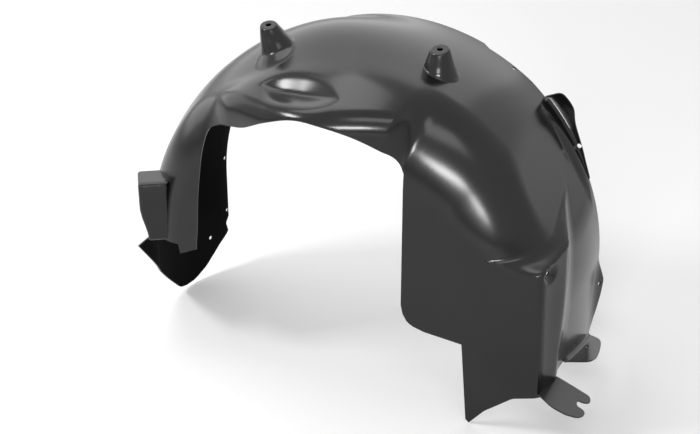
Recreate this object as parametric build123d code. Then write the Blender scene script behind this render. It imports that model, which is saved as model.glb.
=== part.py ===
from build123d import *
import math
import os

# Wheel arch liner: one moulded plastic sheet. Millimetres and degrees.
# It is drawn round the arch axis: X from the front leg to the rear leg, Y from the inboard wall out
# to the fender rim, Z up. At the end it is moved so that the hole in the rear boss is the origin.
# The outer form and the same form set in by the sheet are built alike. Their difference is the sheet.

# Sheet, arch and tread
sheet = 2.5
arch_radius = 366.0
front_leg = 195.0
rear_leg = 215.0
crown_front = 28.0
crown_rear = 6.0
crown_power = 1.2
shoulder_y = -50.0
rim_y = 155.0
rim_flare = 21.0
rim_flare_width = 75.0

# Inboard wall and its bends
wall_y = -155.0
front_wall_y = -140.0
front_bend = 60.0
rear_bend = 95.0
foot_bend = 60.0

# Pad over the cut-out: angles from the rear of the arch, then its widths
pad_front = 138.0
pad_peak = 95.0
pad_end = 68.0
pad_step = 4.8
pad_reach_y = -212.0
pad_end_y = -163.0
pad_drop = 0.36
front_line_y = -125.0
pad_line_y = -95.0
pad_line_soft = 30.0
pad_lip = 26.0

# Dimple in the pad
dimple_angle = 100.0
dimple_y = -165.0
dimple_length = 124.0
dimple_width = 58.0
dimple_depth = 15.0

# Flat panel let into the rear tread
panel_top = 46.0
panel_foot = 16.0
panel_near_y = -112.0
panel_far_y = 105.0
panel_edge = 1.65

# Boxed-out rear foot
foot_proud = 0.5
foot_lean = 0.03
foot_turn = -0.23
foot_edge_y = -95.0
foot_ledge_z = 106.0
foot_ledge_slope = 0.27
foot_corner = 12.0
pocket_z = 98.0
pocket_y = -130.0
pocket_radius = 20.0
pocket_depth = 5.0

# Box bump on the front leg
bump_inset = 11.0
bump_y = -160.0
bump_turn = 20.0
bump_width = 46.0
bump_depth = 52.0
bump_top = 120.0
bump_corner = 8.0

# Bosses
boss_hole = 9.0
rear_boss_x = 121.0
rear_boss_y = -11.0
rear_boss_height = 33.0
rear_boss_base = 53.0
rear_boss_top = 31.0
front_boss_angle = 113.0
front_boss_y = -35.0
front_boss_height = 41.0
front_boss_base = 60.0
front_boss_top = 27.0
boss_round = 1.5

# Rim in plan
front_rim_y = 163.0
top_rim_y = 146.0
rim_tab_y = 154.0
rear_rim_y = 128.0
rear_rim_inset = 22.0
lip_inset = 141.0
lip_round = 8.0
ear_round = 6.0
tab_front_x = -106.0
tab_rear_x = 138.0
cut_start_y = -80.0

# Holes
clip_hole = 8.0

# Handle length of a Bezier quarter round, and how far in the walls are drawn before the cut-out
round_hold = 0.5523
wall_reach = 0.72


def ramp(start, end, x):
    k = min(max((x - start) / (end - start), 0.0), 1.0)
    return k * k * (3 - 2 * k)


def mix(a, b, k):
    return a + (b - a) * k


def at(angle):
    return math.radians(180 - angle) * arch_radius


arch_end = at(0)
foot_x = arch_radius + foot_proud
bump_x = bump_inset - arch_radius


def station(s):
    """Point on the arch line, s along it from the top of the front leg, and its outward direction."""
    if s < 0:
        return -arch_radius, s, -1.0, 0.0
    if s > arch_end:
        return arch_radius, arch_end - s, 1.0, 0.0
    angle = math.pi - s / arch_radius
    return arch_radius * math.cos(angle), arch_radius * math.sin(angle), math.cos(angle), math.sin(angle)


def place(s, y, out):
    x, z, nx, nz = station(s)
    return Vector(x + out * nx, y, z + out * nz)


def hinge(x, soft):
    """Rises with x from zero on, rounded off over the soft width each side."""
    if x < -soft:
        return 0.0
    if x > soft:
        return x
    return (x + soft) ** 2 / (4 * soft)


def height(s, y):
    """How far the tread stands out of the arch line at station s and width y."""
    out = -pad_drop * ramp(at(130), at(108), s) * hinge(pad_line_y - y, pad_line_soft)
    across = (rim_y - y) / (rim_y - mix(front_line_y, pad_line_y, ramp(at(pad_front), at(112), s)))
    if 0 < across < 1:
        crown = mix(crown_front, crown_rear, ramp(at(110), at(pad_end + 2), s))
        out += crown * math.sin(math.pi * across) ** crown_power
    flare = ramp(arch_end, arch_end + 50, s) * (1 - ramp(arch_end + 90, arch_end + 150, s))
    return out + rim_flare * flare * ramp(rim_y - rim_flare_width, rim_y, y) ** 1.5


def slope(s, y):
    return 0.0 if y >= rim_y else (height(s, y + 0.05) - height(s, y - 0.05)) / 0.1


def outline(s, inset, wall, bend):
    """Section of the form at station s: crown, shoulder, bend and wall, closed round the inside."""
    start = wall + bend
    spans = [(rim_y, shoulder_y, 4)]
    if start < shoulder_y - 1:
        spans.append((shoulder_y, start, 2))
    edges = []
    for first, last, count in spans:
        line, lean = [], []
        for i in range(count + 1):
            y = mix(first, last, i / count)
            m = slope(s, y)
            norm = math.hypot(1, m)
            a = (y + inset * m / norm, height(s, y) - inset / norm)
            line.append(place(s, *a))
            lean.append((place(s, -1, -m) - place(s, 0, 0)) * (first - last))
        share = [i / count for i in range(count + 1)]
        edges.append(Edge.make_spline(line, tangents=[lean[0], lean[-1]], parameters=share, scale=False))
    reach = bend * norm
    y = wall + inset
    corner = a[1] + m * (y - a[0])
    low = height(s, start) - m * bend - reach
    first = (mix(a[0], y, round_hold), mix(a[1], corner, round_hold))
    second = (y, mix(low, corner, round_hold))
    edges.append(Edge.make_bezier(*[place(s, *p) for p in (a, first, second, (y, low))]))
    beyond = 20 if inset else 10
    floor = -wall_reach * arch_radius - beyond
    top = height(s, rim_y) - inset
    corners = [(y, low), (y, floor), (rim_y + beyond, floor), (rim_y + beyond, top)]
    points = [place(s, *p) for p in corners] + [edges[0] @ 0]
    for p, q in zip(points, points[1:]):
        edges.append(Edge.make_line(p, q))
    return Wire(edges)


def pad_wall(angle):
    if angle > pad_peak:
        return mix(front_wall_y, pad_reach_y, ramp(pad_front, pad_peak, angle))
    return mix(pad_reach_y, pad_end_y, ((pad_peak - angle) / (pad_peak - pad_end)) ** 1.5)


def behind(block, point, normal, inset):
    """The part of a block behind a plane, the plane set in."""
    normal = Vector(*normal).normalized()
    return split(block, bisect_by=Plane(Vector(*point) - normal * inset, z_dir=normal), keep=Keep.BOTTOM)


def arch_form(inset):
    front = outline(at(pad_front), inset, front_wall_y, front_bend)
    front_arch = Solid.revolve(Face(front), -(180 - pad_front), Axis.Y)
    leg = outline(0, inset, front_wall_y, front_bend)
    front_drop = Solid.extrude(Face(leg), Vector(0, 0, -front_leg))
    last = pad_end + pad_step / 2
    sections = []
    for angle in (pad_front, 122, 106, 90, 79, last):
        bend = mix(front_bend, pad_lip, ramp(pad_front, 108, angle))
        sections.append(outline(at(angle), inset, pad_wall(angle), bend))
    middle = Solid.make_loft(sections)
    # The pad's rear end steps down to the rear bend
    rear = outline(at(last - pad_step), inset, wall_y, rear_bend)
    step = Solid.make_loft([sections[-1], rear], ruled=True)
    rear_arch = Solid.revolve(Face(rear), last - pad_step, Axis.Y)
    sections = []
    for drop in (0, 50, 100, 150, rear_leg):
        sections.append(outline(arch_end + drop, inset, wall_y, foot_bend))
    rear_drop = Solid.make_loft(sections)
    return front_drop, front_arch, middle, step, rear_arch, rear_drop


def panel_space(inset):
    half = (panel_top - panel_foot) / 2
    level = (arch_radius + crown_rear) * math.cos(math.radians(half)) - inset
    rise = 60.0
    near, far = panel_near_y - 0.29 * inset, panel_far_y + 0.29 * inset
    side = panel_edge * rise
    points = [(near, level), (near - side, level + rise), (far + side, level + rise), (far, level)]
    up = math.radians((panel_top + panel_foot) / 2)
    plane = Plane((0, 0, 0), x_dir=(0, 1, 0), z_dir=(-math.sin(up), 0, math.cos(up)))
    across = plane.y_dir.X * math.cos(up) + plane.y_dir.Z * math.sin(up)
    face = plane * make_face(Polyline(*[(y, n * across) for y, n in points], close=True))
    return extrude(face, 260, both=True)


foot_way = Vector(1, foot_turn, foot_lean).normalized()
pocket_x = foot_x - foot_turn * (pocket_y - foot_edge_y) - foot_lean * pocket_z
foot_hole = Vector(pocket_x, pocket_y, pocket_z)


def foot_block(inset):
    low, high = -rear_leg - (10 if inset else 0), 215.0
    block = Box(140, 185, high - low, align=(Align.MAX, Align.MIN, Align.MIN))
    block = Pos(foot_x + 20, wall_y + inset, low) * block
    block = behind(block, foot_hole, foot_way, inset)
    block = behind(block, (foot_x, foot_edge_y, -60), (0.894, 0.446, -0.048), inset)
    block = behind(block, (foot_x, wall_y, foot_ledge_z), (0, -foot_ledge_slope, 1), inset)
    upright = block.edges().filter_by(lambda e: e.length > 150 and abs(e.tangent_at(0.5).Z) > 0.9)
    near = upright.filter_by(lambda e: abs(e.center().Y - wall_y - inset) < 1)
    return fillet(near.sort_by(Axis.X)[-1], foot_corner - inset)


def bump_block(inset):
    low = -30.0
    sides = (bump_width - 2 * inset, bump_depth - inset, bump_top - inset - low)
    block = Box(*sides, align=(Align.MIN, Align.MIN, Align.MIN))
    near = block.faces().sort_by(Axis.Y)[0]
    block = fillet(near.edges().filter_by(lambda e: e.center().Z > 5), bump_corner - inset)
    return Pos(bump_x, bump_y, low) * Rot(0, 0, bump_turn) * Pos(inset, inset, 0) * block


def boss(plane, inset, height, base, top):
    """Boss standing on a plane, its foot sunk below it."""
    sink = 25.0
    flare = (base - top) / 2 / height
    wide = base / 2 + flare * sink - inset
    narrow = top / 2 + flare * inset - inset
    cone = Solid.make_cone(wide, narrow, height - inset + sink, Plane.XY.offset(-sink))
    if inset == 0:
        cone = cone.chamfer(boss_round, None, cone.edges().sort_by(Axis.Z)[-1:])
    return plane * cone


rear_boss_z = math.sqrt((arch_radius + crown_rear) ** 2 - rear_boss_x ** 2)
rear_boss_plane = Plane((rear_boss_x, rear_boss_y, rear_boss_z))
front_out = Vector(math.cos(math.radians(front_boss_angle)), 0, math.sin(math.radians(front_boss_angle)))
front_boss_plane = Plane(
    place(at(front_boss_angle), front_boss_y, height(at(front_boss_angle), front_boss_y)), z_dir=front_out
)


def dimple(inset):
    s = at(dimple_angle)
    tilt = math.atan(slope(s, dimple_y))
    x, z, nx, nz = station(s)
    out = Vector(nx * math.cos(tilt), -math.sin(tilt), nz * math.cos(tilt))
    radius = (dimple_width ** 2 / 4 + dimple_depth ** 2) / (2 * dimple_depth)
    lift = radius - dimple_depth
    long = dimple_length / dimple_width * radius
    origin = place(s, dimple_y, height(s, dimple_y)) + out * lift
    half = EllipticalCenterArc((0, 0), long + inset, radius + inset, 0, arc_size=180)
    bowl = make_face([half, Line(half @ 1, half @ 0)])
    return Plane(origin, x_dir=(nz, 0, -nx), z_dir=out) * revolve(bowl, Axis.X)


def form(inset):
    blocks = arch_form(inset)
    body = blocks[0].fuse(*blocks[1:])
    body = body - panel_space(inset) - dimple(inset)
    body = body + foot_block(inset) + bump_block(inset)
    body = body + boss(rear_boss_plane, inset, rear_boss_height, rear_boss_base, rear_boss_top)
    body = body + boss(front_boss_plane, inset, front_boss_height, front_boss_base, front_boss_top)
    ball = foot_hole + foot_way * (pocket_radius - pocket_depth)
    return body - Pos(*ball) * Sphere(pocket_radius + inset)


def plate(plane, points, rounding, rounded, thick=sheet):
    """Flat ear of the sheet's thickness, the points counted in rounded made round."""
    face = make_face(Polyline(*points, close=True))
    corners = []
    for i in rounded:
        corners.append(face.vertices().sort_by_distance(Vector(*points[i]))[0])
    return extrude(plane * fillet(corners, rounding), thick)


def polar(angle, out):
    """Point seen along Y, out from the arch line."""
    turn = math.radians(angle)
    return (arch_radius + out) * math.cos(turn), (arch_radius + out) * math.sin(turn)


def hole(point, way, size, reach=40):
    return Plane(point, z_dir=way) * Cylinder(size / 2, reach)


liner = form(0) - form(sheet)

# Lip standing out of the rear rim. It is left long and the rim cut trims it flush.
lip_x = arch_radius - lip_inset
rear_rim_x = arch_radius - rear_rim_inset
slant = Vector(rear_rim_x - lip_x, rear_rim_y - top_rim_y, 0).normalized()
inward = slant.cross(Vector(0, 0, 1))
lip_spare = 3.0
lip_plane = Plane(Vector(lip_x, top_rim_y, 0) - inward * lip_spare, x_dir=slant, z_dir=inward)
lip = [(46.6, 2), (46.4, 14), (45, 30), (40.6, 31), (36.6, 17.4), (32, 10.2), (27, 4), (22.6, 0.8)]
lip = [polar(*p) for p in lip + [(angle, 0) for angle in range(22, 47, 3)]]
lip = [((x - lip_x) / slant.X, z) for x, z in lip]
liner = liner + plate(lip_plane, lip, lip_round, (2, 3), sheet + lip_spare)

# Rim in plan: set back in front and behind, proud along the top
wide = arch_radius + 90
rim_line = [
    (-wide, front_rim_y), (66 - arch_radius, front_rim_y - 3), (lip_inset - arch_radius, top_rim_y + 4),
    (tab_front_x - 6, top_rim_y), (tab_front_x, rim_tab_y), (tab_rear_x, rim_tab_y),
    (tab_rear_x + 12, top_rim_y), (lip_x, top_rim_y), (rear_rim_x, rear_rim_y), (wide, rear_rim_y),
    (wide, 2 * rim_y), (-wide, 2 * rim_y),
]
liner = liner - extrude(make_face(Polyline(*rim_line, close=True)), wide, both=True)

# Cut-out in the inboard wall, seen along Y: strips left under the arch, then the foot of each wall
front_edge = [polar(*p) for p in ((177.8, -104), (169.8, -105), (157.6, -92.5), (147, -72.5), (138.8, -50))]
pad_front_edge = [polar(*p) for p in ((138.8, -50), (133.6, -38.5), (127, -47), (119, -60.5))]
pad_edge = [(119, -60.5), (108.8, -56), (99.3, -51), (91.8, -54), (80.8, -65), (69, -84), (62.7, -105)]
pad_edge = [polar(*p) for p in pad_edge]
rear_x = pad_edge[-1][0]
wall_foot = [
    (rear_x + 41, -41), (foot_x - 141, -48), (foot_x - 129, -188), (foot_x - 123, -194),
    (foot_x - 98, -164), (foot_x - 52, -127), (foot_x - 15, -116), (foot_x - 15, -wide),
]
strip_foot = [(4 - arch_radius, -wide), (4 - arch_radius, 12), (44 - arch_radius, 14)]
cut_out = make_face([
    Spline(*front_edge),
    Spline(*pad_front_edge, tangents=[(0.2, 1), (1, 0.35)]),
    Spline(*pad_edge, tangents=[(1, 0.35), (0, -1)]),
    Line(pad_edge[-1], (rear_x, 0)),
    ThreePointArc((rear_x, 0), (rear_x + 11, -29), wall_foot[0]),
    Polyline(*wall_foot, *strip_foot),
    Spline(strip_foot[-1], (69 - arch_radius, -9), (86 - arch_radius, -2), front_edge[0]),
])
side = Plane((0, cut_start_y, 0), x_dir=(1, 0, 0), z_dir=(0, -1, 0))
liner = liner - extrude(side * cut_out, 2 * rim_y)

# Flat of the front tongue beside the bump
flat = Box(sheet, 95, 140, align=(Align.MIN, Align.MIN, Align.MIN))
liner = liner + Pos(-arch_radius, bump_y, -120) * flat

# Lower ends of the front tongue and the rear foot, seen along X
along = Plane((0, 0, 0), x_dir=(0, 1, 0), z_dir=(1, 0, 0))
tongue = [
    (-wide, 5), (-160, 3), (-90, -82), (-45, -125), (17, -183), (39, -189), (65, -188), (94, -174),
    (133, -140), (158, -125), (151, -105), (165, -95), (wide, -95), (wide, -wide), (-wide, -wide),
]
liner = liner - extrude(along.offset(-wide) * make_face(Polyline(*tongue, close=True)), wide / 3)
heel = [
    (-wide, -110), (-150, -110), (-97, -106), (-92, -98), (-60, -98), (-54, -101), (83, -133), (93, -132),
    (105, -118), (122, -70), (128, -40), (wide, -40), (wide, -wide), (-wide, -wide),
]
liner = liner - extrude(along.offset(foot_x - 21) * make_face(Polyline(*heel, close=True)), wide / 3)

# Ears turned out at the rear foot
low_plane = Plane((foot_x - 2.5, 0, -110), x_dir=(0.985, 0, -0.174), z_dir=(0.174, 0, 0.985))
low_ear = [
    (-12, -153), (19, -172), (43, -177), (64, -173), (71, -159), (65, -149), (52, -146), (50, -130),
    (60, -132), (70, -125), (65, -110), (29, -99), (11, -94), (-2, -91),
]
liner = liner + plate(low_plane, low_ear, ear_round, (3, 4, 10))
high_way = Vector(0, 0.227, 0.974)
high_plane = Plane((arch_radius, -54, -103.5), x_dir=(1, 0, 0), z_dir=high_way)
high_ear = [(-1, -2), (20, 11), (37, 25), (43, 55), (35, 112), (25, 140), (4, 150), (-1, 150)]
liner = liner + plate(high_plane, high_ear, ear_round, (2, 3, 5))

# Holes
liner = liner - hole(rear_boss_plane.origin + Vector(0, 0, rear_boss_height), (0, 0, 1), boss_hole)
liner = liner - hole(front_boss_plane.origin + front_out * front_boss_height, front_out, boss_hole)
holes = [(foot_hole, foot_way), (high_plane.from_local_coords((16, 89, 0)), high_way)]
for s, y in ((at(107), 139), (at(57.6), 139), (arch_end + 46, 116), (-119, 108), (-80, 157), (31, 155)):
    x, z, nx, nz = station(s)
    holes.append((place(s, y, 0), Vector(nx, 0, nz)))
for point, way in holes:
    liner = liner - hole(point, way, clip_hole)
x, z = polar(31.6, 7)
liner = liner - hole(Vector(x, 132, z), inward, clip_hole, 12)
liner = Pos(-rear_boss_x, -rear_boss_y, -rear_boss_z - rear_boss_height) * liner
os.makedirs("parts", exist_ok=True)
export_step(liner, "parts/wheel_arch_liner.step")
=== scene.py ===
import math
import bpy
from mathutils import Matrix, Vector


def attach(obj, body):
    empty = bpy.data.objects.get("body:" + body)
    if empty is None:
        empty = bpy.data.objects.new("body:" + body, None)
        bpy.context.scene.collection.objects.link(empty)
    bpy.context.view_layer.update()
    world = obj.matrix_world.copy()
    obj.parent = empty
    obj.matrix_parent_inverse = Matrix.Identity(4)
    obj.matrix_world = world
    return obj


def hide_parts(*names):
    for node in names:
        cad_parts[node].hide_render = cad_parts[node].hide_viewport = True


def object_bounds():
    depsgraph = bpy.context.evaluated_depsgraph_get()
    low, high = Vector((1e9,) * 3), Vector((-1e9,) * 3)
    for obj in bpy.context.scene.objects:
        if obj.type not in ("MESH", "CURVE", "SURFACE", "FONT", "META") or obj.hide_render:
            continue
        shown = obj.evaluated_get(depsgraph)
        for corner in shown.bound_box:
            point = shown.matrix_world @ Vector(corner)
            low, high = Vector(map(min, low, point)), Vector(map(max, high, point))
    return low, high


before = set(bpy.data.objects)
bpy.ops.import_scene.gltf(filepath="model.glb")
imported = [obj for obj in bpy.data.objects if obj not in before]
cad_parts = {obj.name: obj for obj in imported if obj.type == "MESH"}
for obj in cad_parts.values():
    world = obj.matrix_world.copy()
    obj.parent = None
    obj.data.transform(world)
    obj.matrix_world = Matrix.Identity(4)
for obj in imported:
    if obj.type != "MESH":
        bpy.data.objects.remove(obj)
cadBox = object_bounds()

bpy.ops.object.select_all(action="DESELECT")

# The liner is drawn round the arch axis in millimetres, then moved to the rear boss hole in metres
bossHole = {"x": 121.0, "y": -11.0, "z": 384.7712}


def toFrame(x, y, z):
    return ((x - bossHole["x"]) / 1000, (y - bossHole["y"]) / 1000, (z - bossHole["z"]) / 1000)


def ramp(a, b, x):
    k = min(max((x - a) / (b - a), 0.0), 1.0)
    return k * k * (3 - 2 * k)


def mix(a, b, k):
    return a + (b - a) * k


# straight pieces between points, read at x
def along(points, x):
    if x <= points[0][0]:
        return points[0][1]
    for (xa, ya), (xb, yb) in zip(points, points[1:]):
        if x <= xb:
            return mix(ya, yb, (x - xa) / (xb - xa))
    return points[-1][1]


# rounded smaller and larger of two lengths
def softMin(a, b, k):
    h = max(k - abs(a - b), 0.0) / k
    return min(a, b) - h * h * k / 4


def softMax(a, b, k):
    return -softMin(-a, -b, k)


arch = {
    "radius": 366.0, "sheet": 2.5, "shoulderY": -60.0,
    "crownFront": 28.0, "crownRear": 6.0, "crownPower": 1.2, "crownFade": 0.12, "crownTurn": 110.0,
    "rimY": 155.0, "rimFlare": 21.0, "flareWidth": 75.0, "flareRise": 50.0, "flareFade": (90.0, 150.0),
    "wallY": -155.0, "frontWallY": -140.0, "frontBend": 60.0,
    "rearBend": 95.0, "rearFall": 1.3, "fallTurn": (26.0, 44.0),
}
pad = {
    "front": 138.0, "peak": 95.0, "end": 68.0, "endSoft": 4.2, "reachY": -212.0, "endY": -163.0,
    "drop": 0.36, "dropTurn": (130.0, 108.0), "lineY": -95.0, "frontLineY": -125.0, "lineTurn": 112.0,
    "lineSoft": 24.0, "lip": 26.0, "lipTurn": 108.0,
}
dimple = {
    "angle": 100.0, "y": -146.0, "long": 74.0, "back": 26.0, "near": 40.0, "deep": 15.0, "rear": 0.6,
    "tilt": 0.2, "keel": 0.1, "edge": 0.35, "press": (0.94, -0.34),
}
panel = {"start": 62.0, "top": 46.0, "foot": 16.0, "nearY": -112.0, "farY": 105.0, "edge": 1.65, "soft": 5.0}
foot = {
    "x": 366.5, "edgeY": -95.0, "turn": -0.23, "lean": 0.03, "ledgeZ": 106.0, "ledgeSlope": 0.27,
    "corner": 14.0, "soft": 6.0, "tipSoft": 14.0, "tipX": (290.0, 340.0), "blend": 24.0,
    "back": (0.894, 0.446, -0.048), "backZ": -60.0,
    "pocketY": -130.0, "pocketZ": 98.0, "pocketDeep": 6.0, "pocketWide": 13.0,
}
radius = arch["radius"]
archEnd = math.pi * radius


# the sheet is measured by s along the arch from its front end, y across, and out from the arch line
def at(angle):
    return math.radians(180 - angle) * radius


def station(s):
    if s < 0:
        return -radius, s, -1.0, 0.0
    if s > archEnd:
        return radius, archEnd - s, 1.0, 0.0
    turn = math.pi - s / radius
    return radius * math.cos(turn), radius * math.sin(turn), math.cos(turn), math.sin(turn)


def place(s, y, out):
    x, z, nx, nz = station(s)
    return Vector((x + out * nx, y, z + out * nz))


# nought before a crease and x after it, rounded between
def hinge(x, soft):
    if x < -soft:
        return 0.0
    return x if x > soft else (x + soft) ** 2 / (4 * soft)


# how far the tread stands out of the arch line, before its creases are softened
def sharpHeight(s, y):
    dropFrom, dropFull = pad["dropTurn"]
    out = -pad["drop"] * ramp(at(dropFrom), at(dropFull), s) * hinge(pad["lineY"] - y, pad["lineSoft"])
    line = mix(pad["frontLineY"], pad["lineY"], ramp(at(pad["front"]), at(pad["lineTurn"]), s))
    across = (arch["rimY"] - y) / (arch["rimY"] - line)
    if 0 < across < 1:
        toRear = ramp(at(arch["crownTurn"]), at(pad["end"] + 2), s)
        crown = mix(arch["crownFront"], arch["crownRear"], toRear)
        swell = math.sin(math.pi * across)
        fade = arch["crownFade"]
        out += crown * swell ** arch["crownPower"] * (1 + fade) * swell / (swell + fade)
    fadeFrom, fadeTo = arch["flareFade"]
    flare = ramp(archEnd, archEnd + arch["flareRise"], s)
    flare *= 1 - ramp(archEnd + fadeFrom, archEnd + fadeTo, s)
    return out + arch["rimFlare"] * flare * ramp(arch["rimY"] - arch["flareWidth"], arch["rimY"], y) ** 1.5


softSteps = (-12, -6, 0, 6, 12)  # places across the tread that are averaged


def treadHeight(s, y):
    return sum(sharpHeight(s, y + step) for step in softSteps) / len(softSteps)


def padWall(angle):
    if angle > pad["peak"]:
        return mix(arch["frontWallY"], pad["reachY"], ramp(pad["front"], pad["peak"], angle))
    share = min((pad["peak"] - angle) / (pad["peak"] - pad["end"]), 1.0)
    return mix(pad["reachY"], pad["endY"], share ** 1.5)


curveSteps = 40
fineSteps = 240


# shoulder and bend of a section, from the tread's edge to the wall, with even steps
def bendLine(s, wall, bend, steps, fall=1.0):
    shoulder = arch["shoulderY"]
    start = min(wall + bend, shoulder)
    line = []
    for i in range(curveSteps + 1):
        y = mix(shoulder, start, i / curveSteps)
        line.append((y, treadHeight(s, y)))
        if start > shoulder - 0.5:
            break
    m = (treadHeight(s, start + 0.05) - treadHeight(s, start - 0.05)) / 0.1
    a = line[-1]
    reach = bend * fall * math.hypot(1, m)
    corner = (wall, a[1] - m * (a[0] - wall))
    b = (wall, corner[1] - reach)
    hold = 0.5523  # handles of a quarter circle
    p1 = (mix(a[0], corner[0], hold), mix(a[1], corner[1], hold))
    p2 = (mix(b[0], corner[0], hold), mix(b[1], corner[1], hold))
    for i in range(1, curveSteps + 1):
        k = i / curveSteps
        c0, c1, c2, c3 = (1 - k) ** 3, 3 * k * (1 - k) ** 2, 3 * k * k * (1 - k), k ** 3
        line.append(tuple(c0 * a[n] + c1 * p1[n] + c2 * p2[n] + c3 * b[n] for n in (0, 1)))
    return evenSteps(line, steps)


def evenSteps(line, steps):
    run = [0.0]
    for p, q in zip(line, line[1:]):
        run.append(run[-1] + math.dist(p, q))
    out, k = [], 0
    for i in range(steps + 1):
        want = run[-1] * i / steps
        while k < len(run) - 2 and run[k + 1] < want:
            k += 1
        f = (want - run[k]) / max(run[k + 1] - run[k], 1e-9)
        out.append((mix(line[k][0], line[k + 1][0], f), mix(line[k][1], line[k + 1][1], f)))
    return out


# flat panel let into the rear tread, its two sides sloping up
panelTurn = math.radians((panel["top"] + panel["foot"]) / 2)
panelHalf = math.radians((panel["top"] - panel["foot"]) / 2)
panelLevel = (radius + arch["crownRear"]) * math.cos(panelHalf)


def panelHeight(s, y):
    nx, nz = station(s)[2:]
    facing = nx * math.cos(panelTurn) + nz * math.sin(panelTurn)
    if facing < 0.7:
        return 1e3
    side = max(y - panel["farY"], panel["nearY"] - y, 0.0)
    return (panelLevel + side / panel["edge"]) / facing - radius


# boxed-out rear foot, along a ray from the middle of the rear bend
footWay = Vector((1, foot["turn"], foot["lean"])).normalized()
footBack = Vector(foot["back"]).normalized()
ledgeWay = Vector((0, -foot["ledgeSlope"], 1)).normalized()
footPlanes = [
    (footWay, footWay.dot(Vector((foot["x"], foot["edgeY"], 0))), foot["corner"]),
    (footBack, footBack.dot(Vector((foot["x"], foot["edgeY"], foot["backZ"]))), foot["soft"]),
    (Vector((0, -1, 0)), -arch["wallY"], foot["corner"]),
    (ledgeWay, ledgeWay.dot(Vector((0, arch["wallY"], foot["ledgeZ"]))), foot["soft"]),
]


def reachTo(way, level, middle, ray):
    speed = way.dot(ray)
    gap = level - way.dot(middle)
    if speed < 1e-6:
        return 1e4 if gap > 0 else -1e4
    return min(gap / speed, 1e4)


def footShape(s, point, low):
    middle = place(s, arch["shoulderY"], low)
    ray = point - middle
    far = ray.length
    ray = ray / far
    box = 1e4
    for way, level, soft in footPlanes:
        if way is ledgeWay:
            soft = mix(foot["tipSoft"], soft, ramp(*foot["tipX"], point.x))
        box = softMin(box, reachTo(way, level, middle, ray), soft)
    if box > 1:
        far = softMax(far, box, foot["blend"])
    end = middle + ray * far
    end.y = max(end.y, arch["wallY"])
    return end


# the dimple in the pad and the screw pocket in the foot, as a shift of the sheet
def dents(point):
    turn = math.radians(dimple["angle"])
    q = point.x * math.sin(turn) - point.z * math.cos(turn)
    w = point.y - dimple["y"] + dimple["tilt"] * q
    share = 1 - abs(q / dimple["long"]) ** 3
    deep = 0.0
    if share > 0 and point.z > 200:
        wide = dimple["back"] if w > 0 else dimple["near"]
        keel = dimple["keel"] * share
        fall = share - math.hypot(w / wide, keel) + keel
        deep = dimple["deep"] * mix(1.0, dimple["rear"], ramp(0, dimple["long"], q))
        deep *= softMax(fall, 0.0, dimple["edge"])
    out, side = dimple["press"]
    shift = Vector((math.cos(turn) * out, side, math.sin(turn) * out)) * -deep
    e = ((point.y - foot["pocketY"]) ** 2 + (point.z - foot["pocketZ"]) ** 2) / foot["pocketWide"] ** 2
    if e < 5 and point.x > 300:
        shift -= footWay * foot["pocketDeep"] * math.exp(-e * e)
    return shift


# rim in plan, by x
rimPlan = [
    (-460, 163), (-300, 160), (-225, 150), (-112, 146), (-106, 154), (138, 154), (150, 146), (225, 146),
    (344, 128), (460, 128),
]
heelRim = [(-132, 93), (-118, 105), (-70, 122), (-40, 128)]  # rear rim by z, below the arch
heelFoot = [
    (-155, -110), (-97, -106), (-92, -98), (-60, -98), (-54, -101), (83, -133), (93, -132),
]  # lower edge by y
wallFoot = [(237, -188), (243, -194), (268, -164), (314, -127), (351, -116)]  # lower edge of the wall by x
cutOut = [
    (-262, 0), (-262, 10), (-257, 46), (-253, 104), (-246, 160), (-238, 208), (-226, 237), (-192, 255),
    (-148, 267), (-100, 293), (-51, 311), (-10, 312), (48, 297), (101, 263), (120, 232), (120, 0),
]
cutFoot = [(-188, 237), (-48, 225), (-41, 161), (-35, 140), (-29, 131), (-16, 123.5), (0, 120)]  # by z
stripFoot = [(-362, 12), (-322, 14), (-297, -9), (-280, -2), (-262, 10)]  # lower edge of the front wall


# rounds the corners of a run of points
def smoothLine(points, steps):
    line = []
    for i in range(len(points) - 1):
        p0, p1 = points[max(i - 1, 0)], points[i]
        p2, p3 = points[i + 1], points[min(i + 2, len(points) - 1)]
        for n in range(steps):
            t = n / steps
            line.append(tuple(
                0.5 * (2 * b + (c - a) * t + (2 * a - 5 * b + 4 * c - d) * t * t
                       + (3 * b - a - 3 * c + d) * t ** 3)
                for a, b, c, d in zip(p0, p1, p2, p3)))
    return line + [points[-1]]


cutLine = cutOut[:1] + smoothLine(cutOut[1:-1], 10) + cutOut[-1:]


# distance from the arch axis to the cut-out's edge
def cutReach(angle):
    c, n = math.cos(angle), math.sin(angle)
    best = 60.0
    for (xa, za), (xb, zb) in zip(cutLine, cutLine[1:]):
        da, db = n * xa - c * za, n * xb - c * zb
        if da * db <= 0 and da != db:
            k = da / (da - db)
            best = max(best, mix(xa, xb, k) * c + mix(za, zb, k) * n)
    return best


columns = {"tread": 44, "bend": 40, "wall": 10}


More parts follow.
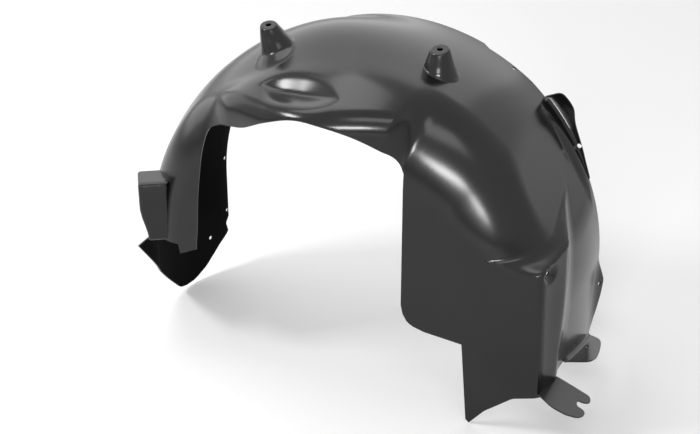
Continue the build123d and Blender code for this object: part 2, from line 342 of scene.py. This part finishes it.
# one row of the sheet: points from the rim over the tread and round the bend to the wall's free edge
def sheetRow(s, rim, end):
    angle = 180 - math.degrees(s / radius)
    soft = ramp(pad["end"] + pad["endSoft"], pad["end"] - pad["endSoft"], angle)
    row = []
    for i in range(columns["tread"]):
        y = mix(rim, arch["shoulderY"], i / columns["tread"])
        row.append((y, treadHeight(s, y)))
    lines = []
    if soft < 1:
        bend = mix(pad["lip"], arch["frontBend"], ramp(pad["lipTurn"], pad["front"], angle))
        wall = arch["frontWallY"] if angle > pad["front"] else padWall(angle)
        lines.append(bendLine(s, wall, bend, fineSteps))
    if soft > 0:
        fall = mix(1.0, arch["rearFall"], ramp(*arch["fallTurn"], angle))
        lines.append(bendLine(s, arch["wallY"], arch["rearBend"], fineSteps, fall))
    if len(lines) == 2:
        line = [(mix(p[0], q[0], soft), mix(p[1], q[1], soft)) for p, q in zip(*lines)]
    else:
        line = lines[0]
    # the bend stops at the free edge where that comes first
    stop = fineSteps
    while stop > 40 and line[stop][1] < end + 2:
        stop -= 1
    line = evenSteps(line[:stop + 1], columns["bend"])
    row += line
    for i in range(1, columns["wall"] + 1):
        k = i / columns["wall"]
        row.append((line[-1][0], mix(line[-1][1], min(end, line[-1][1] - 2), k)))
    return row


def finishPoint(s, y, out):
    if s < at(panel["start"]):
        point = place(s, y, out)
        return point + dents(point)
    low = treadHeight(s, arch["shoulderY"]) - arch["rearBend"]
    if out < low + 1:
        return place(s, y, out)
    out = softMin(out, panelHeight(s, y), panel["soft"])
    point = footShape(s, place(s, y, out), low)
    return point + dents(point)


def rowEnd(s):
    if s > archEnd:
        return along(cutFoot, archEnd - s) - radius
    turn = math.pi - s / radius
    return cutReach(turn) - radius


def rowRim(s):
    x, z = station(s)[:2]
    if z < heelRim[-1][0] and s > archEnd:
        return along(heelRim, z)
    return along(rimPlan, x)


lowFront, lowRear = 45.0, archEnd + 55.0  # between these the rows are square to the sheet


def steppedRows():
    turns = [112, 87, pad["end"] + 6, pad["end"] - 6, 27, 6]
    marks = [lowFront] + [at(turn) for turn in turns] + [lowRear]
    sizes = [6.0, 3.5, 6.0, 1.8, 6.0, 2.4, 4.0]  # finer at the dimple, the pad's end and the foot
    rows = []
    for (a, b), size in zip(zip(marks, marks[1:]), sizes):
        count = math.ceil((b - a) / size)
        rows += [mix(a, b, i / count) for i in range(count)]
    for x in (-112, -106, 138, 150, 225):  # a row at each corner of the rim
        rows.append(at(math.degrees(math.acos(x / radius))))
    for z in (-41.0, -48.0):  # and where the cut-out ends
        rows.append(archEnd - z)
    rows = sorted(rows)
    return [s for i, s in enumerate(rows) if i == 0 or s - rows[i - 1] > 0.3] + [lowRear]


def buildRows():
    grid = []
    frontRows, heelRows = 12, 16
    for i in range(frontRows, 0, -1):  # front leg, down to the lower edge of its wall
        f = i / frontRows
        row = []
        base = sheetRow(lowFront, rowRim(lowFront), rowEnd(lowFront))
        for n, (y, out) in enumerate(base):
            if n <= columns["tread"]:
                low = 0.0
            elif n <= columns["tread"] + columns["bend"]:
                low = stripFoot[0][1] * ramp(columns["tread"], columns["tread"] + columns["bend"], n)
            else:
                low = along(stripFoot, -radius - out)
            s = mix(lowFront, low, f)
            if n <= columns["tread"]:
                y = mix(rowRim(s), arch["shoulderY"], n / columns["tread"])
                out = treadHeight(s, y)
            row.append(finishPoint(s, y, out))
        grid.append(row)
    for s in steppedRows():
        row = sheetRow(s, rowRim(s), rowEnd(s))
        grid.append([finishPoint(s, y, out) for y, out in row])
    for i in range(1, heelRows + 1):  # rear leg, down to its shaped lower edge
        f = i / heelRows
        row = []
        rimZ = mix(archEnd - lowRear, heelRim[0][0], f)
        for n in range(columns["tread"] + columns["bend"] + columns["wall"] + 1):
            s = lowRear
            for turn in range(3):  # the edge depends on where the point lies, so close in on it
                y, out = sheetRow(s, along(heelRim, rimZ), rowEnd(s))[n]
                point = finishPoint(s, y, out)
                low = along(heelFoot, point.y)
                if n >= columns["tread"] + 12:
                    low = mix(low, along(wallFoot, point.x), ramp(10, 14, n - columns["tread"]))
                s = archEnd - mix(archEnd - lowRear, low, f)
            row.append(finishPoint(s, y, out))
        grid.append(row)
    return grid


# front tongue: its two edges by z
tongue = {
    "near": [(-189, 39), (-183, 17), (-125, -45), (-82, -90), (3, -160)],
    "far": [
        (-189, 55), (-188, 65), (-174, 94), (-140, 133), (-125, 158), (-105, 151), (-95, 161.2), (0, 161.2)],
    "bendY": -72.0, "holdY": -100.0, "flatY": -118.0, "rows": 44, "tip": -188.6,
}


def tongueRows():
    grid = []
    for i in range(tongue["rows"] + 1):
        z = mix(0.0, tongue["tip"], i / tongue["rows"])
        near, far = along(tongue["near"], z), along(tongue["far"], z)
        shoulder = max(near, arch["shoulderY"])
        row = []
        for n in range(columns["tread"] + columns["bend"] + 1):
            if n <= columns["tread"]:
                y = mix(far, shoulder, n / columns["tread"])
            else:
                y = mix(shoulder, near, (n - columns["tread"]) / columns["bend"])
            fall = ramp(tongue["bendY"], tongue["flatY"], y)
            row.append(place(z, y, treadHeight(z, max(y, tongue["holdY"])) * (1 - fall)))
        grid.append(row)
    return grid


def gridPiece(name, rows):
    high, wide = len(rows), len(rows[0])
    bpy.ops.mesh.primitive_grid_add(x_subdivisions=wide - 1, y_subdivisions=high - 1, size=2)
    piece = bpy.context.object
    piece.name = name
    for v in piece.data.vertices:
        i = round((v.co.x + 1) / 2 * (wide - 1))
        j = round((v.co.y + 1) / 2 * (high - 1))
        v.co = toFrame(*rows[j][i])
    piece.data.update()
    return piece


# black moulded plastic: satin outside; inside, matt grain with its sheen cut to a tenth as painted shade, so
# the unlit inside of the arch renders dark
plastic = {"dark": 0.003, "pale": 0.006, "rough": 0.2, "shine": 0.4, "grain": 0.03}
inside = {"dark": 0.003, "pale": 0.005, "rough": 0.8, "shine": 0.04, "grain": 0.12}


def blackFinish(name, look):
    finish = bpy.data.materials.new(name)
    finish.use_nodes = True
    nodes, links = finish.node_tree.nodes, finish.node_tree.links
    shader = nodes["Principled BSDF"]
    shader.inputs["Specular IOR Level"].default_value = look["shine"]
    coords = nodes.new("ShaderNodeTexCoord")
    cloud = nodes.new("ShaderNodeTexNoise")
    cloud.inputs["Scale"].default_value = 9
    cloud.inputs["Detail"].default_value = 4
    tint = nodes.new("ShaderNodeValToRGB")
    for stop, spot, tone in zip(tint.color_ramp.elements, (0.35, 0.7), (look["dark"], look["pale"])):
        stop.position = spot
        stop.color = (tone, tone, tone * 1.04, 1)
    rub = nodes.new("ShaderNodeMapRange")
    rub.inputs["To Min"].default_value = look["rough"] - 0.03
    rub.inputs["To Max"].default_value = look["rough"] + 0.03
    grain = nodes.new("ShaderNodeTexNoise")
    grain.inputs["Scale"].default_value = 900
    grain.inputs["Detail"].default_value = 2
    bump = nodes.new("ShaderNodeBump")
    bump.inputs["Strength"].default_value = look["grain"]
    bump.inputs["Distance"].default_value = 0.0004
    links.new(coords.outputs["Object"], cloud.inputs["Vector"])
    links.new(coords.outputs["Object"], grain.inputs["Vector"])
    links.new(cloud.outputs["Fac"], tint.inputs["Fac"])
    links.new(cloud.outputs["Fac"], rub.inputs["Value"])
    links.new(grain.outputs["Fac"], bump.inputs["Height"])
    links.new(tint.outputs["Color"], shader.inputs["Base Color"])
    links.new(rub.outputs["Result"], shader.inputs["Roughness"])
    links.new(bump.outputs["Normal"], shader.inputs["Normal"])
    return finish


blackPlastic = blackFinish("blackPlastic", plastic)
# the inside copy carries painted shade: it reflects a tenth as much as the outside
mattShadedInside = blackFinish("mattShadedInside", inside)


def pick(*pieces):
    bpy.ops.object.select_all(action="DESELECT")
    for piece in pieces:
        piece.select_set(True)
    bpy.context.view_layer.objects.active = pieces[0]


def join(*pieces):
    pick(*pieces)
    bpy.ops.object.join()
    return pieces[0]


def weld(piece):
    pick(piece)
    bpy.ops.object.mode_set(mode="EDIT")
    bpy.ops.mesh.select_all(action="SELECT")
    bpy.ops.mesh.remove_doubles(threshold=0.00005)
    bpy.ops.mesh.dissolve_degenerate(threshold=0.00002)
    bpy.ops.object.mode_set(mode="OBJECT")


# turns the faces over when they look the other way on the whole
def faceTo(piece, outward):
    if sum(outward(p) * p.area for p in piece.data.polygons) > 0:
        return
    pick(piece)
    bpy.ops.object.mode_set(mode="EDIT")
    bpy.ops.mesh.select_all(action="SELECT")
    bpy.ops.mesh.flip_normals()
    bpy.ops.object.mode_set(mode="OBJECT")


def thicken(piece):
    pick(piece)
    bpy.ops.object.modifier_add(type="SOLIDIFY")
    wall = piece.modifiers[-1]
    wall.thickness = arch["sheet"] / 1000
    wall.offset = -1.0
    wall.use_even_offset = True
    # the inner faces take the plastic copy with painted shade
    wall.material_offset = 1
    piece.data.materials.append(blackPlastic)
    piece.data.materials.append(mattShadedInside)
    bpy.ops.object.modifier_apply(modifier=wall.name)


def cut(piece, cutter):
    pick(piece)
    bpy.ops.object.modifier_add(type="BOOLEAN")
    tool = piece.modifiers[-1]
    tool.operation = "DIFFERENCE"
    tool.solver = "EXACT"
    tool.object = cutter
    bpy.ops.object.modifier_apply(modifier=tool.name)
    bpy.data.objects.remove(cutter)


def drill(point, way, size, reach):
    bpy.ops.mesh.primitive_cylinder_add(
        vertices=40, radius=size / 2000, depth=reach / 1000, location=toFrame(*point),
        rotation=Vector(way).to_track_quat("Z", "Y").to_euler())
    bpy.ops.object.transform_apply(location=True, rotation=True, scale=True)
    return bpy.context.object


sheetPiece = gridPiece("wheelArchLiner", buildRows())
join(sheetPiece, gridPiece("frontTongue", tongueRows()[::-1]))
weld(sheetPiece)
faceTo(sheetPiece, lambda p: p.normal.z if p.center.z > -0.06 else 0.0)
thicken(sheetPiece)
print("sheet", len(sheetPiece.data.polygons))

# hollow bosses, each a cone let into the sheet; the tops lean a little
bossTop = {"edge": 2.2, "hole": 4.5, "holeEdge": 1.5, "turns": 72}
rearBoss = {"height": 33.0, "base": 53.0, "top": 31.0, "apron": 9.0, "lean": (0.0, 0.22)}
rearBoss["origin"] = Vector((bossHole["x"], bossHole["y"], bossHole["z"] - rearBoss["height"]))
rearBoss["axis"] = Vector((0, 0, 1))
frontBoss = {
    "height": 41.0, "base": 60.0, "top": 27.0, "apron": 0.8, "lean": (-0.34, 0.26),
    "angle": 113.0, "y": -35.0,
}
frontTurn = at(frontBoss["angle"])
frontBoss["origin"] = place(frontTurn, frontBoss["y"], treadHeight(frontTurn, frontBoss["y"]))
frontBoss["axis"] = Vector((station(frontTurn)[2], 0, station(frontTurn)[3]))


# height of the sheet over the boss's base
def sheetLift(boss, p, q):
    axis = boss["axis"]
    side = Vector((axis.z, 0, -axis.x))
    w = 0.0
    for turn in range(6):
        point = boss["origin"] + side * p + Vector((0, q, 0)) + axis * w
        s = at(math.degrees(math.atan2(point.z, point.x)))
        nx, nz = station(s)[2:]
        gap = radius + treadHeight(s, point.y) - math.hypot(point.x, point.z)
        w += gap / (axis.x * nx + axis.z * nz)
    return w


def curve(a, b, c, steps):
    return [tuple(
        (1 - k) ** 2 * a[n] + 2 * k * (1 - k) * b[n] + k * k * c[n] for n in (0, 1))
        for k in (i / steps for i in range(steps + 1))]


def toward(a, b, far):
    k = far / max(math.dist(a, b), 1e-6)
    return mix(a[0], b[0], k), mix(a[1], b[1], k)


# outline of a boss at one turn: sheet, apron, cone, rounded top, hole
def bossLine(boss, turn):
    c, n = math.cos(turn), math.sin(turn)
    wide, lean = boss["base"] / 2, (boss["base"] - boss["top"]) / 2 / boss["height"]
    edge, hole = bossTop["edge"], bossTop["hole"]
    crest = (boss["top"] / 2 + lean * edge, boss["height"] - edge)
    line = []
    r = crest[0]
    while r < wide + 40:
        sheetAt = sheetLift(boss, c * r, n * r)
        cone, apron = (wide - r) / lean, (wide - r) * boss["apron"]
        line.append((r, softMax(softMax(cone, min(apron, 0.0), 2.5), sheetAt, 4.0)))
        if sheetAt - max(cone, min(apron, 0.0)) > 4.0:
            break
        r += 0.5
    line = evenSteps(line[::-1], curveSteps)
    top = (boss["top"] / 2, boss["height"])
    mouth = hole + bossTop["holeEdge"]
    line += curve(crest, top, (top[0] - edge, top[1]), 6)[1:]
    line += [(mix(top[0] - edge, mouth, i / 4), top[1]) for i in range(1, 5)]
    line += curve((mouth, top[1]), (hole, top[1]), (hole, top[1] - bossTop["holeEdge"]), 4)[1:]
    tip = []
    for r, w in line:
        k = ramp(0.25 * boss["height"], boss["height"], w)
        tip.append((r, w + k * r * (c * boss["lean"][0] + n * boss["lean"][1])))
    return tip


def bossPiece(name, boss):
    axis = boss["axis"]
    side = Vector((axis.z, 0, -axis.x))
    rows = []
    for i in range(bossTop["turns"] + 1):
        turn = math.tau * (i % bossTop["turns"]) / bossTop["turns"]
        spoke = side * math.cos(turn) + Vector((0, math.sin(turn), 0))
        rows.append([boss["origin"] + spoke * r + axis * w for r, w in bossLine(boss, turn)])
    piece = gridPiece(name, rows)
    weld(piece)
    faceTo(piece, lambda p: p.normal.dot(axis))
    thicken(piece)
    return piece


bossPieces = [bossPiece("rearBoss", rearBoss), bossPiece("frontBoss", frontBoss)]
print("bosses", [len(p.data.polygons) for p in bossPieces])

# boss cavities and clip holes through the sheet
clipHole = 8.0
clipPlaces = [(at(107), 139), (at(57.6), 139), (archEnd + 46, 116), (-119, 108), (-80, 157), (31, 155)]
cutters = []
for boss in (rearBoss, frontBoss):
    cutters.append(drill(boss["origin"], boss["axis"], boss["base"] - 12, 60))
for s, y in clipPlaces:
    nx, nz = station(s)[2:]
    cutters.append(drill(place(s, y, 0), (nx, 0, nz), clipHole, 60))
pocketX = foot["x"] - foot["turn"] * (foot["pocketY"] - foot["edgeY"]) - foot["lean"] * foot["pocketZ"]
cutters.append(drill((pocketX, foot["pocketY"], foot["pocketZ"]), footWay, clipHole, 40))
cut(sheetPiece, join(*cutters))
print("holes", len(sheetPiece.data.polygons))

# lip standing out of the rear rim
lip = {
    "root": 14.0, "holeTurn": 31.6, "holeY": 132.0, "holeOut": 7.5, "holeWay": (-0.15, -0.989, 0),
    "outline": [
        (46.6, 1), (46.5, 6), (46.3, 11), (46.0, 16), (45.7, 22), (45.3, 27), (44.6, 30.5), (43.2, 32),
        (41.6, 32), (40.4, 30.5), (39.4, 27), (38.2, 22), (36.6, 17.4), (34.3, 13.3), (32, 10.2),
        (29.5, 7.1), (27, 4), (22.6, 0.6)],
}


def lipRows():
    rows = []
    for angle, high in smoothLine(lip["outline"], 5):
        turn = math.radians(angle)
        x = radius * math.cos(turn)
        rim = along(rimPlan, x) - arch["sheet"]
        root = min(lip["root"], high * 0.8)
        base = treadHeight(at(angle), rim)
        corner = (rim, base)
        start = (rim - root, treadHeight(at(angle), rim - root) - 0.05)
        row = curve(start, corner, (rim, base + root), 10)
        row += [(rim, mix(base + root, base + high, i / 8)) for i in range(1, 9)]
        points = []
        for y, out in row:
            lean = along(rimPlan, (radius + out) * math.cos(turn)) - along(rimPlan, x)
            points.append(place(at(angle), y + lean * (out - base) / max(high, 1), out))
        rows.append(points)
    return rows


lipPiece = gridPiece("rimLip", lipRows())
weld(lipPiece)
faceTo(lipPiece, lambda p: -p.normal.y)
thicken(lipPiece)
lipHole = place(at(lip["holeTurn"]), lip["holeY"], lip["holeOut"])
cut(lipPiece, drill(lipHole, lip["holeWay"], clipHole, 14))

# ears turned out at the rear foot
highEar = {
    "root": Vector((366.0, -54.0, -103.5)), "long": Vector((0, 0.974, -0.227)),
    "up": Vector((0, 0.227, 0.974)), "hole": (382, 33.2, -121.3), "curl": 9.0,
    "reach": [
        (-2, 0.6), (4, 10), (11, 20), (18, 30), (26, 37.5), (38, 41.5), (55, 43), (80, 40.5), (112, 35),
        (130, 30), (140, 24), (146, 15), (150, 3)],
}
lowEar = {
    "root": Vector((364.0, 0, -110.0)), "out": Vector((0.985, 0, -0.174)),
    "up": Vector((0.174, 0, 0.985)), "corner": 7.0,
    "outline": [
        (-12, -153), (19, -172), (43, -177), (64, -173), (71, -159), (65, -149), (52, -146), (50, -130),
        (60, -132), (70, -125), (65, -110), (29, -99), (11, -94), (-2, -91), (-12, -91)],
}


def highEarRows():
    rows = []
    for v, far in smoothLine(highEar["reach"], 4):
        base = highEar["root"] + highEar["long"] * v
        curl = min(highEar["curl"], far * 0.7)
        lift = arch["sheet"]
        grow = treadHeight(archEnd - base.z, base.y) - 0.4
        row = curve((grow, lift + curl), (grow, lift), (grow + curl, lift), 8)
        row += [(mix(grow + curl, max(far, grow + curl + 0.5), i / 10), lift) for i in range(1, 11)]
        rows.append([base + Vector((u, 0, 0)) + highEar["up"] * w for u, w in row])
    return rows


highPiece = gridPiece("highEar", highEarRows())
weld(highPiece)
faceTo(highPiece, lambda p: p.normal.z)
thicken(highPiece)
cut(highPiece, drill(highEar["hole"], highEar["up"], clipHole, 40))


# rounds each corner of an outline by the same small size
def roundCorners(points, size):
    line = []
    for i, p in enumerate(points):
        before, after = points[i - 1], points[(i + 1) % len(points)]
        a = toward(p, before, min(size, math.dist(p, before) * 0.45))
        b = toward(p, after, min(size, math.dist(p, after) * 0.45))
        line += curve(a, p, b, 5)
    return line


def platePiece(name, ear):
    line = roundCorners(ear["outline"], ear["corner"])
    bpy.ops.mesh.primitive_circle_add(vertices=len(line), radius=1, fill_type="NGON")
    piece = bpy.context.object
    piece.name = name
    for v, (a, b) in zip(piece.data.vertices, line):
        v.co = toFrame(*(ear["root"] + ear["out"] * a + Vector((0, b, 0)) + ear["up"] * arch["sheet"]))
    piece.data.update()
    faceTo(piece, lambda p: p.normal.z)
    thicken(piece)
    return piece


lowPiece = platePiece("lowEar", lowEar)
print("lip and ears")

# box bump on the front leg
bump = {
    "x": -355.0, "y": -160.0, "turn": 32.0, "wide": 50.0, "deep": 52.0, "top": 120.0, "low": 11.0,
    "edge": 6.0, "tuck": 12.0, "tuckTop": 75.0, "sink": 1.2,
}


# lifts a point of the bump that lies deep inside the front bend to just under its surface
def tuckIn(point):
    if point.y < arch["frontWallY"] + 0.8:
        return point
    s = point.z if point.z < 0 else at(math.degrees(math.atan2(point.z, point.x)))
    out = -point.x - radius if point.z < 0 else math.hypot(point.x, point.z) - radius
    line = bendLine(s, arch["frontWallY"], arch["frontBend"], 120)
    level = min(line, key=lambda p: abs(p[0] - point.y))[1]
    if out > level:
        return point
    near = min(line, key=lambda p: math.dist(p, (point.y, out)))
    far = math.dist(near, (point.y, out))
    if far < bump["sink"]:
        return point
    y, out = toward(near, (point.y, out), bump["sink"])
    return place(s, y, out)


bpy.ops.mesh.primitive_cube_add(size=1)
bumpPiece = bpy.context.object
bumpPiece.name = "legBump"
for v in bumpPiece.data.vertices:
    v.co = (
        (v.co.x + 0.5) * bump["wide"], (v.co.y + 0.5) * bump["deep"],
        mix(bump["low"], bump["top"], v.co.z + 0.5))
bpy.ops.object.mode_set(mode="EDIT")
bpy.ops.mesh.select_all(action="DESELECT")
bpy.ops.object.mode_set(mode="OBJECT")
for e in bumpPiece.data.edges:
    a, b = (bumpPiece.data.vertices[i].co for i in e.vertices)
    mid = (a + b) / 2
    e.select = mid.y < 1 and mid.z > bump["low"] + 1 or mid.x < 1 and mid.z > bump["top"] - 1
bpy.ops.object.mode_set(mode="EDIT")
bpy.ops.mesh.select_mode(type="EDGE")
bpy.ops.mesh.bevel(offset=bump["edge"], segments=5, profile=0.5)
bpy.ops.mesh.select_all(action="SELECT")
bpy.ops.mesh.subdivide(number_cuts=6)
bpy.ops.object.mode_set(mode="OBJECT")
spin = math.radians(bump["turn"])
for v in bumpPiece.data.vertices:
    p = v.co.copy()
    p.x += bump["tuck"] * ramp(bump["tuckTop"], bump["low"], p.z) * (1 - p.x / bump["wide"])
    x = bump["x"] + p.x * math.cos(spin) - p.y * math.sin(spin)
    y = bump["y"] + p.x * math.sin(spin) + p.y * math.cos(spin)
    v.co = toFrame(*tuckIn(Vector((x, y, p.z))))
bumpPiece.data.update()
pick(bumpPiece)
bpy.ops.object.mode_set(mode="EDIT")
bpy.ops.mesh.select_all(action="SELECT")
bpy.ops.mesh.normals_make_consistent(inside=False)
bpy.ops.object.mode_set(mode="OBJECT")
bumpPiece.data.materials.append(blackPlastic)
print("bump", len(bumpPiece.data.polygons))

join(sheetPiece, *bossPieces, lipPiece, highPiece, lowPiece, bumpPiece)
print("liner", len(sheetPiece.data.polygons))

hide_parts("wheel_arch_liner")
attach(sheetPiece, "root")

pick(sheetPiece)
bpy.ops.object.shade_smooth_by_angle(angle=math.radians(38))


# one for what the camera sees, also mirrored or through glass, and nought for light
def seenRays(nodes, links):
    path = nodes.new("ShaderNodeLightPath")
    seen = nodes.new("ShaderNodeMath")
    seen.operation = "MAXIMUM"
    through = nodes.new("ShaderNodeMath")
    through.operation = "MAXIMUM"
    links.new(path.outputs["Is Camera Ray"], seen.inputs[0])
    links.new(path.outputs["Is Glossy Ray"], seen.inputs[1])
    links.new(seen.outputs["Value"], through.inputs[0])
    links.new(path.outputs["Is Transmission Ray"], through.inputs[1])
    level = nodes.new("ShaderNodeMapRange")
    links.new(through.outputs["Value"], level.inputs["Value"])
    return level


# pale floor just under the part
bpy.ops.mesh.primitive_plane_add(size=30, location=(0, 0, cadBox[0][2] - 0.0015))
floor = bpy.context.object
floor.name = "floor"
paper = bpy.data.materials.new("paleFloor")
paper.use_nodes = True
nodes, links = paper.node_tree.nodes, paper.node_tree.links
card = nodes["Principled BSDF"]
card.inputs["Base Color"].default_value = (0.84, 0.84, 0.84, 1)
card.inputs["Roughness"].default_value = 0.9
card.inputs["Emission Color"].default_value = (1, 1, 1, 1)
glow = seenRays(nodes, links)
glow.inputs["To Max"].default_value = 0.2
links.new(glow.outputs["Result"], card.inputs["Emission Strength"])
floor.data.materials.append(paper)

# the world is white to look at and in reflections, and softer as a light
world = bpy.data.worlds.new("studio")
bpy.context.scene.world = world
world.use_nodes = True
nodes, links = world.node_tree.nodes, world.node_tree.links
sky = nodes["Background"]
sky.inputs["Color"].default_value = (1, 1, 1, 1)
level = seenRays(nodes, links)
level.inputs["To Min"].default_value = 0.26
level.inputs["To Max"].default_value = 1.0
links.new(level.outputs["Result"], sky.inputs["Strength"])


def lamp(name, where, target, size, power):
    bpy.ops.object.light_add(type="AREA", location=where)
    light = bpy.context.object
    light.name = name
    light.data.shape = "RECTANGLE"
    light.data.size, light.data.size_y = size
    light.data.energy = power
    way = Vector(target) - Vector(where)
    light.rotation_euler = way.to_track_quat("-Z", "Y").to_euler()


middle = (-0.12, 0.0, -0.25)
bend, dish = (0.08, -0.11, -0.13), (-0.18, -0.14, -0.05)
lamp("frontLamp", (0.60, -2.58, 0.42), bend, (0.85, 0.3), 34)
lamp("leftLamp", (-1.90, -1.13, 1.63), dish, (0.7, 0.45), 30)
lamp("highLamp", (0.86, -1.67, 1.80), bend, (1.3, 0.7), 9)
lamp("topLamp", (-1.00, 0.35, 2.35), dish, (1.9, 1.3), 22)
lamp("sideLamp", (-2.70, 0.35, 0.55), middle, (1.6, 1.6), 9)
lamp("backLamp", (-1.3, 2.9, 1.6), middle, (5.0, 3.0), 40)

# the photograph's viewing angle
view = {"place": (0.7378, -2.0090, 0.8345), "target": (-0.15819, 0.011, -0.33455), "lens": 75.34}
bpy.ops.object.camera_add(location=view["place"])
camera = bpy.context.object
way = Vector(view["target"]) - Vector(view["place"])
camera.rotation_euler = way.to_track_quat("-Z", "Y").to_euler()
camera.data.lens = view["lens"]
camera.data.sensor_width = 36
bpy.context.scene.camera = camera
bpy.context.scene.view_settings.view_transform = "Standard"
